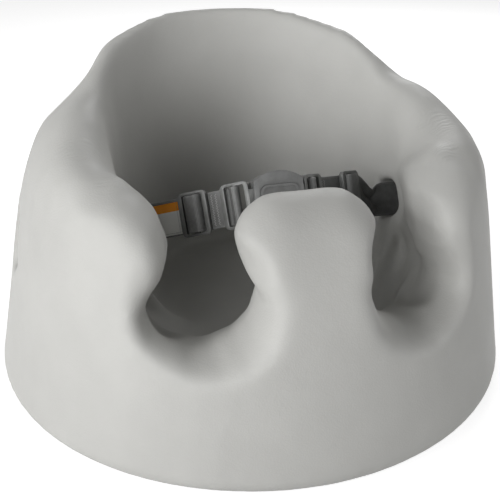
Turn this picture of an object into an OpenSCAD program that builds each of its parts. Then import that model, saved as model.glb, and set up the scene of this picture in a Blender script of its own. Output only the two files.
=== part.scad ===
// Baby floor seat: one moulded foam bucket with a lap belt across it.
// Millimetres. Front is -Y, +Z is up, the origin is the centre of the footprint on the floor.

/* [Foam body] */
// Diameter of the footprint
base_d = 380; // [340:5:420]
// Height of the backrest
back_h = 236; // [220:1:250]
// Height of the armrests
arm_h = 172; // [166:1:178]
// Height of the post between the legs
post_h = 168; // [155:1:175]
// Height of the seat pan above the floor
pan_h = 46; // [35:1:55]
// Diameter of the flat seat pan
pan_d = 140; // [110:2:160]
// Height of the lowest point of each leg opening
leg_sill_h = 80; // [76:1:86]
// Inside diameter of the bucket below the armrests
bucket_d = 212; // [206:2:218]
// Radius of the rounded bottom edge
foot_r = 9; // [6:1:14]

/* [Lap belt] */
// Width of the webbing
strap_w = 25; // [20:1:26]
// Thickness of the webbing
strap_t = 1.2; // [0.8:0.1:1.4]
// Distance of the buckle in front of the middle of the seat
belt_front = 71; // [66:1:76]
// Height of the buckle's centre
belt_h = 140; // [134:1:144]
// How far the left half of the belt hangs down towards the wall, in degrees
left_lean = 3.5; // [2:0.5:4]
// How far the right half climbs towards its slider, in degrees
right_lean = 2; // [1:0.5:3]
// How far the slots in the walls lie below the buckle's centre
slot_drop = 5; // [3:0.5:6]
// Distance from the left half's hinge point to its slider
left_slider_at = 42; // [36:1:54]
// Distance from the right half's hinge point to its slider
right_slider_at = 59; // [36:1:60]

/* [Buckle] */
// Width of the buckle housing
buckle_w = 33; // [33:1:36]
// Height of the buckle housing
buckle_h = 38; // [37:1:42]
// Width of the push button
button_w = 25.5; // [22:0.5:26]
// Height of the push button
button_h = 20.4; // [20.4:0.2:21.2]
// Travel of the push button
button_travel = 2.4; // [1.8:0.1:2.4]

/* [Hidden] */

sections = 96;       // wall sections round the seat
outer_steps = 11;    // points up the outer face
cap_steps = 9;       // points over the rim
inner_steps = 10;    // points down the inner face

base_r = base_d / 2;
bucket_scale = bucket_d / 212;   // the inner radii below are those of a 212 mm bucket
pan_r = pan_d / 2;

// ---- small vector and curve helpers ----
function unit(v) = v / norm(v);
function polar(r, a, z) = [r * sin(a), -r * cos(a), z];       // a is measured from the front
function tangential(a) = [cos(a), sin(a), 0];
function radial(a) = [sin(a), -cos(a), 0];
function bezier(p, q, r, s, t) =
    pow(1 - t, 3) * p + 3 * t * pow(1 - t, 2) * q + 3 * t * t * (1 - t) * r + t * t * t * s;
function spline(p, q, r, s, t) =                              // Catmull-Rom between q and r
    0.5 * ((2 * q) + (r - p) * t + (2 * p - 5 * q + 4 * r - s) * t * t
           + (3 * q - 3 * r + s - p) * t * t * t);

// ---- the outer skin: a cone, steeper in front than at the sides, that leans in higher up ----
front_taper = 0.165;
side_taper = 0.212;
function ease(t) = let (c = min(1, max(0, t))) c * c * (3 - 2 * c);
function taper(a) = front_taper + (side_taper - front_taper) * ease((abs(a) - 50) / 40);
function near_post(a) = ease(1 - abs(a) / 34);
function shoulder(a) = ease((abs(a) - 84) / 18) * ease((136 - abs(a)) / 26);
function lean(a, z) = let (h = max(0, z - 112)) 0.0006 * h * h
    + 0.000205 * ease((abs(a) - 55) / 45) * pow(h, 2.5)
    + 13 * shoulder(a) * ease((z - 172) / 22)
    + 0.0050 * near_post(a) * pow(max(0, z - 92), 2);
function skin_r(a, z) = base_r - taper(a) * max(0, z - foot_r) - lean(a, z);
function skin(a, z) = polar(skin_r(a, z), a, z);
function skin_slope(a, z) = (skin_r(a, z + 0.5) - skin_r(a, z - 0.5));

// ---- stations of the rim, front centre to back centre ----
// [outer angle, outer height, inner angle, inner radius, inner height, outer bulge, inner bulge,
//  foot angle, angle from which the outer face comes up to the rim]
function at_x(x, r) = asin(x / r);
stations = [
    [0, post_h - 21, 0, 107, post_h - 21, 21, 21, 0, 0],
    [at_x(10, 153), post_h - 21, at_x(10, 107), 107, post_h - 21, 21, 21, 1.4, 1.5],
    [at_x(18, 153), post_h - 22.5, at_x(18, 107), 107, post_h - 22.5, 22, 22, 2.8, 2.9],
    [at_x(22, 157), post_h - 29, at_x(22, 108), 108, post_h - 29, 22, 22, 4, 4],
    [at_x(22, 162), post_h - 38, at_x(21, 110), 109, post_h - 38, 20, 20, 5.2, 5],
    [at_x(20, 170), 115, at_x(18, 114), 112, 115, 13, 13, 7, 6.2],
    [at_x(33, 176), 82, at_x(31, 118), 117, 80, 13, 13, 13, 11],
    [at_x(68, 180), leg_sill_h - 12, at_x(70, 120), 119, leg_sill_h - 22, 13, 13, 24, 22],
    [at_x(98, 176), 80, at_x(102, 118), 117, 74, 14, 15, 33, 33],
    [at_x(107, 172), 98, at_x(106, 115), 114, 94, 14, 16, 39.5, 39.5],
    [at_x(105, 169), 118, at_x(101, 112), 111, 112, 17, 20, 44, 42],
    [at_x(102, 167), arm_h - 38, at_x(96, 109), 108, arm_h - 47, 22, 24.5, 49, 44.5],
    [at_x(110, 166), arm_h - 30, at_x(96, 107), 106, arm_h - 40, 28, 26, 54, 49],
    [at_x(134, 166), arm_h - 21, at_x(99, 106), 105, arm_h - 37, 33, 24, 61, 58],
    [72, arm_h - 16, 74, 104, arm_h - 21, 33, 26, 72, 71.5],
    [82, arm_h - 13, 84, 102, arm_h - 4, 29, 30, 83, 82],
    [92, arm_h - 9, 93, 100, arm_h + 5, 25, 28, 93, 92],
    [101, arm_h, 101, 98, arm_h + 14, 6, 28, 101, 101],
    [110, arm_h + 15, 110, 97, arm_h + 22, 6, 31, 110, 110],
    [122, arm_h + 21, 122, 95, arm_h + 36, 10, 28, 122, 122],
    [136, back_h - 28, 136, 94, back_h - 20, 18, 17, 136, 136],
    [151, back_h - 23, 151, 94, back_h - 14, 20, 17, 151, 151],
    [166, back_h - 20, 166, 94, back_h - 12, 20, 17, 166, 166],
    [180, back_h - 19, 180, 94, back_h - 12, 20, 17, 180, 180]];
last = len(stations) - 1;
function mirrored(s) = [-s[0], s[1], -s[2], s[3], s[4], s[5], s[6], -s[7], -s[8]];
function station(i) =                                         // carries on past both ends of the half
    i < 0 ? mirrored(stations[-i])
    : i <= last ? stations[i]
    : let (s = mirrored(stations[2 * last - i]))
      [s[0] + 360, s[1], s[2] + 360, s[3], s[4], s[5], s[6], s[7] + 360, s[8] + 360];
function rim(u) = let (i = floor(u), t = u - i)
    spline(station(i - 1), station(i), station(i + 1), station(i + 2), t);

// In the wall's own plane, the direction that points out over the rim
function rim_out(u) =
    let (a = rim(u - 0.02), b = rim(u + 0.02),
         ds = (b[0] + b[2] - a[0] - a[2]) / 2 * PI / 180 * 140,
         dz = (b[1] + b[4] - a[1] - a[4]) / 2)
    unit([-dz, ds]);

// ---- one wall section: foot, outer face, rim, inner face, pan ----
out_rise = 0.45;      // how far the outer face climbs straight up, as a share of its height
out_run = 22;         // length of its last run up to the rim
in_hold = 0.42;       // share of the inner face's height that runs straight down from the rim
pan_fillet = 30;
inner_lean = 0.12;
function half_section(u) =
    let (s = rim(u), e = rim_out(u),
         f = s[7],
         qo = skin(s[0], s[1]),
         r = s[3] * bucket_scale,
         qi = polar(r, s[2], s[4]),
         across = unit([qo[1] - qi[1], qi[0] - qo[0]]),
         side = [-across[0], -across[1], 0],
         up_skin = skin_slope(s[0], s[1]) * radial(s[0]) + [0, 0, 1],
         to = unit(e[0] * unit(tangential(s[0]) + side) + e[1] * up_skin),
         ti = unit(e[0] * unit(tangential(s[2]) + 2 * side) + e[1] * (inner_lean * radial(s[2]) + [0, 0, 1])),
         turn = abs(s[0]) < 1 ? 1 : s[8] / s[0],
         pan_edge = polar(pan_r, f, pan_h),
         drop = in_hold * (s[4] - pan_h))
    concat(
        [for (i = [0:3])
            let (t = i * 30)
            polar(base_r - foot_r + foot_r * sin(t), f, foot_r - foot_r * cos(t))],
        [for (i = [1:outer_steps]) let (t = i / outer_steps,
            p = bezier([f, foot_r], [f, foot_r + out_rise * (s[1] - foot_r)],
                       [s[8], s[1] - out_run * max(0.3, e[1])], [s[0], s[1]], t))
            skin(p[0], p[1])],
        [for (i = [1:cap_steps]) bezier(qo, qo + to * s[5] / 0.75, qi + ti * s[6] / 0.75, qi, i / cap_steps)],
        [for (i = [1:inner_steps]) bezier(qi, polar(r - inner_lean * drop, s[2] * turn, s[4] - drop),
                                          pan_edge + radial(f) * pan_fillet, pan_edge, i / inner_steps)]);
function wall_section(u) =                                    // the far half mirrors the near half
    u <= last ? half_section(u) : [for (p = half_section(2 * last - u)) [-p[0], p[1], p[2]]];

// ---- skin a ring of equal sections, closed by one point below and one above ----
module loft_ring(rings, low, high) {
    n = len(rings);
    m = len(rings[0]);
    points = concat([for (r = rings) each r], [low, high]);
    polyhedron(points, concat(
        [for (i = [0:n - 1], j = [0:m - 2]) let (k = (i + 1) % n) [i * m + j, i * m + j + 1, k * m + j + 1]],
        [for (i = [0:n - 1], j = [0:m - 2]) let (k = (i + 1) % n) [i * m + j, k * m + j + 1, k * m + j]],
        [for (i = [0:n - 1]) [n * m, i * m, ((i + 1) % n) * m]],
        [for (i = [0:n - 1]) [n * m + 1, ((i + 1) % n) * m + m - 1, i * m + m - 1]]));
}

// ---- the belt's own frame: x across the seat, y into the buckle, z along the width of the webbing ----
belt_tilt = 25;
module in_belt() {
    translate([0, -belt_front, belt_h])
        rotate([-belt_tilt, 0, 0])
            children();
}
module at_slots() {
    in_belt()
        translate([0, 0, -slot_drop])
            children();
}
module on_both_sides() {
    children();
    mirror([1, 0, 0])
        children();
}

// Each half of the belt leaves the buckle at its hinge point, then bends again where it enters the wall
hinge_x = 18.2;
strap_angle = 38;
wall_angle = 5;
bend_at = 95;
lap = strap_t + 0.2;            // spacing of two layers of webbing
layer_1 = 2.0 + strap_t / 2;    // the layer that carries the load, behind the frames
layer_2 = layer_1 + lap + 0.1;  // the layer that comes back
function turned(a, p) = [p[0] * cos(a) - p[1] * sin(a), p[0] * sin(a) + p[1] * cos(a)];
function on_strap(p) = [hinge_x, 0] + turned(strap_angle, p);
bend = on_strap([bend_at, layer_1]);
function in_wall(p) = bend + turned(wall_angle, p);
module strap_frame() {
    translate([hinge_x, 0, 0])
        rotate([0, 0, strap_angle])
            children();
}
module wall_frame() {
    translate([bend[0], bend[1], 0])
        rotate([0, 0, wall_angle])
            children();
}
module leaning(angle) {                               // turns one half of the belt in its own plane
    strap_frame()
        rotate([0, angle, 0])
            rotate([0, 0, -strap_angle])
                translate([-hinge_x, 0, 0])
                    children();
}

// ---- a flat band that follows a path, with each corner rounded to its own radius ----
function flat(v) = v / norm(v);
function corner(p, q, r, rad) =
    let (u = flat(p - q), v = flat(r - q), half = acos(u * v) / 2,
         c = q + flat(u + v) * rad / sin(half),
         a = (q + u * rad / tan(half) - c) / rad, b = (q + v * rad / tan(half) - c) / rad,
         sweep = 180 - 2 * half, n = max(2, ceil(sweep / 15)))
    [for (i = [0:n]) c + rad * (sin((1 - i / n) * sweep) * a + sin(i / n * sweep) * b) / sin(sweep)];
function band_path(v) =
    concat([[v[0][0], v[0][1]]],
           [for (i = [1:len(v) - 2])
               each corner([v[i - 1][0], v[i - 1][1]], [v[i][0], v[i][1]], [v[i + 1][0], v[i + 1][1]], v[i][2])],
           [[v[len(v) - 1][0], v[len(v) - 1][1]]]);
function band_side(p, off) =
    [for (i = [0:len(p) - 1])
        let (a = flat(p[max(i, 1)] - p[max(i, 1) - 1]),
             b = flat(p[min(i, len(p) - 2) + 1] - p[min(i, len(p) - 2)]),
             m = flat(a + b))
        p[i] + off / (m * b) * [-m[1], m[0]]];
function backwards(p) = [for (i = [len(p) - 1:-1:0]) p[i]];
module band(v, thick) {
    p = band_path(v);
    polygon(concat(band_side(p, thick / 2), backwards(band_side(p, -thick / 2))));
}
function with_radius(p, r) = [p[0], p[1], r];

frame_w = strap_w + 4.8;
rail = 1.9;
slider_l = 21.4;
slider_bar = 4;

// ---- webbing: out of the wall, through the slider, round the tongue's bar, back to the slider ----
bar_r = 1.7;
bar_at = 10;
round_bar = bar_r + 0.1 + strap_t / 2;
hump_in = 1.2 + 0.3 + strap_t / 2;                     // sewn loop over the slider's middle bar
hump_out = hump_in + lap;
knot_at = 63;                                          // folded end, beyond the anchor plate
fold = strap_t + 0.4;                                  // spacing of the layers in the folded end
hump_half = 4.2;                                       // half the width of the hump over the middle bar
loop_half = 2.9;                                       // the same of the sewn loop under it
past_slider = 13;                                      // where the right half stops leaning
level_from = bend_at - 5;                              // beyond here the webbing lies level in its slot
wall_points = [
    with_radius(in_wall([knot_at + 7, 2 * fold]), 0),
    with_radius(in_wall([knot_at + 0.4 + strap_t / 2, 2 * fold]), fold / 2 - 0.1),
    with_radius(in_wall([knot_at + 0.4 + strap_t / 2, fold]), fold / 2 - 0.1),
    with_radius(in_wall([knot_at + 7, fold]), fold / 2 - 0.1),
    with_radius(in_wall([knot_at + 7, 0]), fold / 2 - 0.1),
    with_radius(in_wall([0, 0]), 12),
    with_radius(on_strap([level_from, layer_1]), 0)];
function belt_points(slider_at, past) = [
    with_radius(on_strap([slider_at + past, layer_1]), 0),
    with_radius(on_strap([slider_at + 6.6, layer_1]), 1.6),
    with_radius(on_strap([slider_at + hump_half, -hump_out]), 2.4),
    with_radius(on_strap([slider_at - hump_half, -hump_out]), 2.4),
    with_radius(on_strap([slider_at - 6.6, layer_1]), 1.6),
    with_radius(on_strap([bar_at + 4.8, layer_1]), 1.2),
    with_radius(on_strap([bar_at + 1.7, -round_bar]), 1.2),
    with_radius(on_strap([bar_at - round_bar, -round_bar]), round_bar - 0.1),
    with_radius(on_strap([bar_at - round_bar, round_bar]), round_bar - 0.1),
    with_radius(on_strap([bar_at + 2, round_bar]), 1),
    with_radius(on_strap([bar_at + 3.8, layer_2]), 1),
    with_radius(on_strap([slider_at - 6, layer_2]), 1.2),
    with_radius(on_strap([slider_at - loop_half, 1]), 1.2),
    with_radius(on_strap([slider_at - loop_half, -hump_in]), 1.4),
    with_radius(on_strap([slider_at + loop_half, -hump_in]), 1.4),
    with_radius(on_strap([slider_at + loop_half, hump_in]), 1.4),
    with_radius(on_strap([slider_at - 1.5, hump_in]), 0)];
module webbing_end(at) {                               // one end of the stretch between slider and wall
    strap_frame()
        translate([at, layer_1 - strap_t / 2 + 0.03, 0.03 - strap_w / 2])
            cube([0.4, strap_t - 0.06, strap_w - 0.06]);
}
module webbing(slider_at, past, lean) {                // it leans as far as past, beyond the slider
    color([0.45, 0.45, 0.44])
        union() {
            leaning(lean)
                linear_extrude(strap_w, center = true)
                    band(belt_points(slider_at, past), strap_t);
            hull() {
                leaning(lean)
                    webbing_end(slider_at + past - 0.6);
                translate([0, 0, -slot_drop])
                    webbing_end(level_from + 0.2);
            }
            translate([0, 0, -slot_drop])
                linear_extrude(strap_w, center = true)
                    band(wall_points, strap_t);
        }
}
patch_l = 22;
patch_gap = 1.8;                                       // from the slider's end to the patch
patch_at = left_slider_at + slider_l / 2 + patch_gap;
module right_webbing() {
    in_belt()
        webbing(right_slider_at, past_slider, -right_lean);
}
module left_webbing() {
    in_belt()
        mirror([1, 0, 0])
            webbing(left_slider_at, slider_l / 2 + patch_gap + patch_l + 1, left_lean);
}

// A plain label sewn flat on the left half, next to the wall
module left_strap_patch() {
    color([0.95, 0.60, 0.25])
        in_belt()
            mirror([1, 0, 0])
                leaning(left_lean)
                    strap_frame()
                        translate([patch_at, layer_1 - strap_t / 2 - 0.7, 1 - strap_w / 2])
                            cube([patch_l, 0.65, strap_w - 2]);
}

// ---- slider: a frame with a middle bar ----
module rounded_plate(l, w, t, r) {
    translate([0, 0, -t / 2])
        linear_extrude(t)
            rounded_outline(l, w, r);
}
module rounded_outline(l, w, r) {
    square([l - 2 * r, w], center = true);
    square([l, w - 2 * r], center = true);
    for (x = [-1, 1], y = [-1, 1])
        translate([x * (l / 2 - r), y * (w / 2 - r)])
            circle(r, $fn = 40);
}
module flat_frame(l, w, t, r, end_bar) {
    rotate([90, 0, 0])
        difference() {
            rounded_plate(l, w, t, r);
            rounded_plate(l - 2 * end_bar, w - 2 * rail, t + 1, 1.2);
        }
}
module slider(slider_at, lean) {
    color([0.36, 0.36, 0.35])
        leaning(lean)
            strap_frame()
                translate([slider_at, 0, 0]) {
                    flat_frame(slider_l, frame_w, 3.2, 3.6, 3.2);
                    rotate([90, 0, 0])
                        rounded_plate(slider_bar, frame_w - rail, 2.4, 0.8);
                }
}
module right_slider() {
    in_belt()
        slider(right_slider_at, -right_lean);
}
module left_slider() {
    in_belt()
        mirror([1, 0, 0])
            slider(left_slider_at, left_lean);
}

// ---- tongue: a catch plate that slides into the buckle and a frame that carries the webbing ----
tongue_tip = 5;
loop_l = 20.5;
tongue_w = 18;
tongue_t = 2;
window_in = 8;
window_out = 12.5;
module tongue(lean) {
    color([0.36, 0.36, 0.35]) {
        difference() {
            translate([tongue_tip, -tongue_t / 2, -tongue_w / 2])
                cube([hinge_x + 1 - tongue_tip, tongue_t, tongue_w]);
            translate([window_in, -tongue_t, -5])
                cube([window_out - window_in, 2 * tongue_t, 10]);
        }
        leaning(lean)
            strap_frame() {
                translate([loop_l / 2, 0, 0])
                    flat_frame(loop_l, frame_w, 3, 4, 3);
                translate([bar_at, 0, 0])
                    cylinder(h = frame_w - rail, r = bar_r, center = true, $fn = 48);
            }
    }
}
module right_tongue() {
    in_belt()
        tongue(-right_lean);
}
module left_tongue() {
    in_belt()
        mirror([1, 0, 0])
            tongue(left_lean);
}

// ---- anchor plates: each webbing comes through a slot in one, and its folded end stops there ----
plate_t = 3;
plate_l = strap_w + 11;
plate_h = 18;
plate_r = 4;
slot_gap = strap_t + 0.8;
module anchor_plate() {
    color([0.30, 0.30, 0.30])
        wall_frame()
            translate([knot_at - plate_t + 0.03, fold, 0])
                rotate([0, 90, 0])
                    linear_extrude(plate_t)
                        difference() {
                            rounded_outline(plate_l, plate_h, plate_r);
                            translate([0, -fold])
                                square([strap_w + 1.2, slot_gap], center = true);
                        }
}
module right_anchor_plate() {
    at_slots()
        anchor_plate();
}
module left_anchor_plate() {
    at_slots()
        mirror([1, 0, 0])
            anchor_plate();
}

// ---- buckle housing ----
front_y = -7;
back_y = 8;
wall = 2;
corner_r = 4;
dome_r = 27;         // radius of the housing's top and bottom edges
crown_r = 100;
side_wall = 1.9;
post_x = 12.6;
post_z = tongue_w / 2 + 3.2;
post_r = 2.6;
button_r = 5;
module slab(l, w, r, y0, y1) {
    translate([0, y1, 0])
        rotate([90, 0, 0])
            linear_extrude(y1 - y0)
                rounded_outline(l, w, r);
}
module dome(end, inset) {
    translate([0, 0, end * (buckle_h / 2 - dome_r)])
        rotate([90, 0, 0])
            cylinder(h = 40, r = dome_r - inset, center = true, $fn = 120);
}
module housing(inset, y0, y1) {
    intersection() {
        slab(buckle_w - 2 * inset, buckle_h - 2 * inset, corner_r - inset, y0, y1);
        dome(1, inset);
        dome(-1, inset);
    }
}
module buckle_front_cover() {
    color([0.42, 0.42, 0.41])
        in_belt()
            difference() {
                intersection() {
                    housing(0, front_y, 0);
                    translate([0, front_y + crown_r, 0])
                        cylinder(h = 2 * buckle_h, r = crown_r, center = true, $fn = 180);
                }
                difference() {
                    intersection() {
                        housing(side_wall, front_y + wall, 1);
                        translate([0, front_y + crown_r, 0])
                            cylinder(h = 2 * buckle_h, r = crown_r - wall, center = true, $fn = 180);
                    }
                    for (x = [-post_x, post_x], z = [-post_z, post_z])
                        translate([x, 0, z])
                            rotate([90, 0, 0])
                                cylinder(h = 20, r = post_r, center = true, $fn = 40);
                }
                slab(button_w + 0.5, button_h + 0.5, button_r + 0.25, front_y - 1, 0);
                tongue_mouths();
                for (x = [-post_x, post_x], z = [-post_z, post_z])
                    translate([x, 0, z])
                        rotate([90, 0, 0])
                            cylinder(h = 4, r = 0.9, $fn = 24);
                slab(button_w + 2.8, button_h + 2.8, button_r + 1.4, front_y + wall, 0);
            }
}
module tongue_mouths() {
    translate([-buckle_w, -tongue_t / 2 - 0.5, -tongue_w / 2 - 0.5])
        cube([2 * buckle_w, tongue_t + 1, tongue_w + 1]);
}
module buckle_back_cover() {
    color([0.40, 0.40, 0.39])
        in_belt()
            difference() {
                housing(0, 0, back_y);
                difference() {
                    housing(side_wall, -1, back_y - wall);
                    for (x = [-post_x, post_x], z = [-post_z, post_z])
                        translate([x, 0, z])
                            rotate([90, 0, 0])
                                cylinder(h = 20, r = post_r, center = true, $fn = 40);
                    slab(7, 14, 1, 3.1, back_y);
                    slab(2.4, 5.4, 0.3, 1.2, back_y);
                }
                tongue_mouths();
                for (x = [-post_x, post_x], z = [-post_z, post_z])
                    translate([x, 0, z])
                        rotate([90, 0, 0]) {
                            cylinder(h = 20, r = 1.05, center = true, $fn = 24);
                            translate([0, 0, -back_y - 1])
                                cylinder(h = 2.6, r = 2.1, $fn = 32);
                        }
            }
}
module buckle_screws() {
    color([0.62, 0.62, 0.62])
        in_belt()
            for (x = [-post_x, post_x], z = [-post_z, post_z])
                translate([x, 0, z])
                    rotate([90, 0, 0])
                        difference() {
                            union() {
                                translate([0, 0, -back_y + 0.3])
                                    cylinder(h = 1.3, r = 1.9, $fn = 32);
                                translate([0, 0, -back_y + 0.3])
                                    cylinder(h = back_y + 2.7, r = 0.85, $fn = 24);
                            }
                            for (a = [0, 90])
                                rotate([0, 0, a])
                                    translate([-1.2, -0.3, -back_y - 1])
                                        cube([2.4, 0.6, 2]);
                        }
}

// ---- push button, and the springy leaf that it opens ----
leg_z = tongue_w / 2 + 1.5;
leg_x = 8;
leaf_y = 2.2;
leaf_t = 0.8;
hook_y = tongue_t / 2 + 0.6 - button_travel;   // pushed in, the hooks clear the tongues by 0.6 mm
module release_button() {
    color([0.44, 0.44, 0.43])
        in_belt() {
            difference() {
                slab(button_w, button_h, button_r, front_y - 0.8, -3.9);
                slab(button_w - 3.6, button_h - 3.6, button_r - 1.8, front_y - 2, front_y - 0.2);
            }
            slab(button_w + 2.2, button_h + 2.2, button_r + 1.1, -4.8, -3.9);
            for (x = [-leg_x, leg_x], z = [-leg_z, leg_z])
                translate([x - 1.2, -4.4, z - 0.6])
                    cube([2.4, leaf_y - 0.1 + 4.4, 1.2]);
        }
}
module latch_leaf() {
    color([0.70, 0.71, 0.72])
        in_belt()
            difference() {
                union() {
                    translate([-13.2, leaf_y, -4.4])
                        cube([26.4, leaf_t, 8.8]);
                    for (x = [-leg_x, leg_x])
                        translate([x - 1.6, leaf_y, -leg_z - 1])
                            cube([3.2, leaf_t, 2 * leg_z + 2]);
                    on_both_sides()
                        translate([window_in + 0.6, hook_y, -4.2])
                            cube([window_out - window_in - 1.4, leaf_y + 0.2 - hook_y, 8.4]);
                }
                translate([-1.4, 0, -3])
                    cube([2.8, 6, 6]);
            }
}

// ---- foam body, with a slot and an outside pocket for each half of the belt ----
pocket_w = plate_l + 4;
pocket_h = plate_h + 4;
pocket_reach = 60;   // from the plate's seat to well outside the foam
slot_h = 5.2;        // height of the slot that the webbing comes through
slot_in = 22;        // from the webbing's bend to the inside of the bucket
mouth_l = 26;        // the mouth of the slot, a deep hollow that narrows to the slot
mouth_h = 27;
mouth_depth = 30;
mouth_front = 11;    // how far the mouth's middle lies in front of the webbing
module rounded_hole(l, h, r, thick) {
    rotate([0, 90, 0])
        linear_extrude(thick)
            rounded_outline(h, l, r);
}
module belt_cuts() {
    wall_frame() {
        hull() {
            translate([-slot_in, -mouth_front, 0])
                rounded_hole(mouth_l, mouth_h, 9, slot_in + 6);
            translate([mouth_depth, -1, 0])
                rounded_hole(slot_h + 3, strap_w + 5, 3, 1);
        }
        translate([-slot_in, -slot_h / 2, -strap_w / 2 - 2])
            cube([knot_at + slot_in, slot_h, strap_w + 4]);
        translate([knot_at - plate_t, fold, 0])
            rotate([0, 90, 0])
                linear_extrude(pocket_reach)
                    rounded_outline(pocket_w, pocket_h, plate_r + 2);
    }
}
module seat_body() {
    color([0.80, 0.80, 0.78])
        difference() {
            loft_ring([for (i = [0:sections - 1]) wall_section(i * 2 * last / sections)],
                      [0, 0, 0], [0, 0, pan_h]);
            at_slots()
                on_both_sides()
                    belt_cuts();
        }
}

seat_body();
left_anchor_plate();
right_anchor_plate();
left_webbing();
right_webbing();
left_strap_patch();
left_slider();
right_slider();
left_tongue();
right_tongue();
buckle_front_cover();
buckle_back_cover();
release_button();
latch_leaf();
buckle_screws();
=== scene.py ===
# %% [markdown]
# # A baby floor seat, finished in cells
# The real seat is one thick moulding of soft foam with a skin, and a lap belt that crosses its bucket.
# The construction is already there as a frame of solids at real size. This lesson gives every piece its
# finish: the foam becomes one smooth moulding, the belt becomes woven webbing, and the plastic and steel
# parts get rounded edges. First the frame is loaded.

# %% Load the frame
import math

import bmesh
import bpy
from mathutils import Matrix, Vector


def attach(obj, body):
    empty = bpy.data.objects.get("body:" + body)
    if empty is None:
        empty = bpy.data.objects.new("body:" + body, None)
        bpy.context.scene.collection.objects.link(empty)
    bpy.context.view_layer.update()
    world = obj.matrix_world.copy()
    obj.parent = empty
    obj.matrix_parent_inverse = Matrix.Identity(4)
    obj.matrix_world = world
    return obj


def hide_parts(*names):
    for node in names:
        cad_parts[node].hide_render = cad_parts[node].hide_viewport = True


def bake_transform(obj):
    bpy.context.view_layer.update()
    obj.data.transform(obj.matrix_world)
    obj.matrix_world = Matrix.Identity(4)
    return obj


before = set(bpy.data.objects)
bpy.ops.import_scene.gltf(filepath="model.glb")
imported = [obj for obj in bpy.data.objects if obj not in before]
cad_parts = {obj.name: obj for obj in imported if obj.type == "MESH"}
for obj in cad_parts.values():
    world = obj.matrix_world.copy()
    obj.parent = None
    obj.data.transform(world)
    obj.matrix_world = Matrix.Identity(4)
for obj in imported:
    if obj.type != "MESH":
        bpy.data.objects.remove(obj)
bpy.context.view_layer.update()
MM = 0.001

# %% [markdown]
# ## Small helpers
# A piece is an object at the origin whose place is in its mesh. One helper turns a bmesh into such an
# object, and one bakes its modifiers, so that what follows works on the final points. A third says in one
# line which part a piece rides on, which solid it stands for and which material it takes. A solid of
# the frame is loose triangles, so a copy of it has its doubled points joined before it is worked on.


# %% Helpers for pieces
def piece_from(bm, name):
    """Makes an object of a bmesh, with smooth shading, and frees the bmesh."""
    mesh = bpy.data.meshes.new(name)
    bm.to_mesh(mesh)
    bm.free()
    mesh.shade_smooth()
    piece = bpy.data.objects.new(name, mesh)
    bpy.context.scene.collection.objects.link(piece)
    return piece


def bake_modifiers(piece):
    """Replaces the piece's mesh by what its modifiers make of it."""
    bpy.context.view_layer.update()
    finished = piece.evaluated_get(bpy.context.evaluated_depsgraph_get())
    made = bpy.data.meshes.new_from_object(finished)
    piece.modifiers.clear()
    piece.data = made
    return piece


def settle(piece, material, nodes=(), body=None):
    """Gives a finished piece its material, the solids it stands for and its body."""
    piece.data.materials.clear()
    piece.data.materials.append(material)
    if nodes:
        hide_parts(*nodes)
    if body:
        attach(piece, body)
    print(f"{piece.name}: {len(piece.data.polygons)} faces")
    return piece


# %% A copy of a solid, with its points joined
SAME_POINT = 0.02 * MM


def merged_copy(node):
    """A bmesh of a frame solid with its loose triangles joined."""
    bm = bmesh.new()
    bm.from_mesh(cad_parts[node].data)
    bmesh.ops.remove_doubles(bm, verts=bm.verts, dist=SAME_POINT)
    return bm


# %% [markdown]
# ## Node helpers for the finishes
# Each finish is a short node tree. It could be clicked together in the shader editor; written out, the same
# few steps come back in every finish, so each step is a helper. Patterns read object coordinates, or the
# piece's own UV map where they follow a strip of webbing. A number that is the same all over is set on the
# shader's own socket.


# %% A finish and its nodes
def new_finish(name, roughness, specular=0.5):
    """A material with one Principled shader; returns the material and the shader."""
    material = bpy.data.materials.new(name)
    material.use_nodes = True
    shader = material.node_tree.nodes["Principled BSDF"]
    shader.inputs["Roughness"].default_value = roughness
    shader.inputs["Specular IOR Level"].default_value = specular
    return material, shader


def add_node(material, kind, sockets=None, **settings):
    """Adds a node, sets its properties, and sets or links its input sockets."""
    made = material.node_tree.nodes.new(kind)
    for key, value in settings.items():
        setattr(made, key, value)
    for key, value in (sockets or {}).items():
        if isinstance(value, bpy.types.NodeSocket):
            material.node_tree.links.new(value, made.inputs[key])
        else:
            made.inputs[key].default_value = value
    return made


def drive(material, shader, socket, pattern):
    """Lets a pattern decide one of the shader's sockets."""
    material.node_tree.links.new(pattern, shader.inputs[socket])


# %% Patterns and colours
RAMP_STARTS, RAMP_ENDS = 0.3, 0.7


def object_place(material):
    return add_node(material, "ShaderNodeTexCoord").outputs["Object"]


def noise_of(material, place, scale, detail=2.0):
    sockets = {"Vector": place, "Scale": scale, "Detail": detail}
    return add_node(material, "ShaderNodeTexNoise", sockets).outputs["Fac"]


def spread(material, factor, low, high):
    """A number that runs from low to high with the factor."""
    sockets = {"Value": factor, "To Min": low, "To Max": high}
    return add_node(material, "ShaderNodeMapRange", sockets).outputs["Result"]


def shade_between(material, factor, dark, light):
    """A colour that runs from dark to light with the factor."""
    ramp = add_node(material, "ShaderNodeValToRGB", {"Fac": factor})
    for element, colour in zip(ramp.color_ramp.elements, (dark, light)):
        element.color = (*colour, 1)
    ramp.color_ramp.elements[0].position = RAMP_STARTS
    ramp.color_ramp.elements[1].position = RAMP_ENDS
    return ramp.outputs["Color"]


def mix_colours(material, factor, first, second):
    """A colour between two. The Mix node takes its colours in sockets 6 and 7 and gives one in 2."""
    sockets = {"Factor": factor, 6: first, 7: second}
    return add_node(material, "ShaderNodeMix", sockets, data_type="RGBA").outputs[2]


# %% Sums, waves and bumps
def maths(material, operation, first, second=0.5):
    return add_node(material, "ShaderNodeMath", {0: first, 1: second}, operation=operation).outputs[0]


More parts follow.
